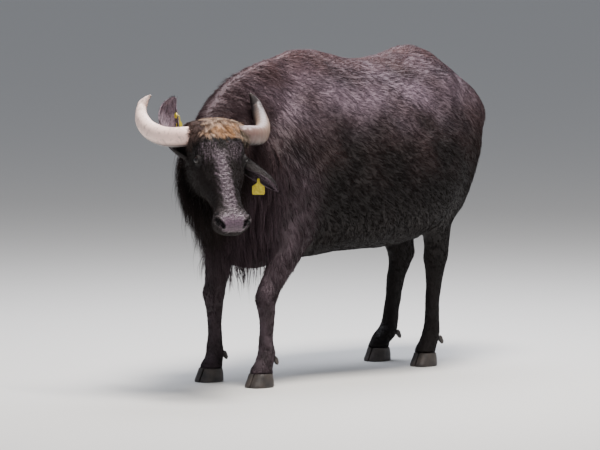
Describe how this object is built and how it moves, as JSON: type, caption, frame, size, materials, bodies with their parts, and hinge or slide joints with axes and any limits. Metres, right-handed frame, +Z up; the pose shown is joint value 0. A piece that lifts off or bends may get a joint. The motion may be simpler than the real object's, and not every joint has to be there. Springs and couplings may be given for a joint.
{
  "type": "water buffalo",
  "caption": "Life-size standing water buffalo cow with its head lowered and turned to its left, backswept horns, a drooping ear and yellow ear tags.",
  "frame": {"origin": "on the floor, under the middle of the box round the whole animal", "axes": "+X towards the tail, the animal faces -X; +Y towards its right side; +Z up"},
  "size_m": [2.1462, 0.894, 1.3887],
  "materials": {
    "hide": "short dark brown coat over skin",
    "horn": "ridged pale horn",
    "hoof": "dark worn hoof horn",
    "eye": "wet and glossy",
    "ear_tag": "flexible yellow plastic"
  },
  "bodies": {
    "root": {"claw_fore_left_inner": "hoof", "claw_fore_left_outer": "hoof", "claw_fore_right_inner": "hoof", "claw_fore_right_outer": "hoof", "claw_hind_left_inner": "hoof", "claw_hind_left_outer": "hoof", "claw_hind_right_inner": "hoof", "claw_hind_right_outer": "hoof", "dewclaw_fore_left_inner": "hoof", "dewclaw_fore_left_outer": "hoof", "dewclaw_fore_right_inner": "hoof", "dewclaw_fore_right_outer": "hoof", "dewclaw_hind_left_inner": "hoof", "dewclaw_hind_left_outer": "hoof", "dewclaw_hind_right_inner": "hoof", "dewclaw_hind_right_outer": "hoof", "ear_left": "hide", "ear_right": "hide", "ear_tag_left": "ear_tag", "ear_tag_right": "ear_tag", "eye_left": "eye", "eye_right": "eye", "fore_leg_left_lower": "hide", "fore_leg_left_upper": "hide", "fore_leg_right_lower": "hide", "fore_leg_right_upper": "hide", "head": "hide", "hind_leg_left_lower": "hide", "hind_leg_left_upper": "hide", "hind_leg_right_lower": "hide", "hind_leg_right_upper": "hide", "horn_left": "horn", "horn_right": "horn", "neck": "hide", "tail": "hide", "trunk": "hide", "udder": "hide"}
  },
  "joints": []
}
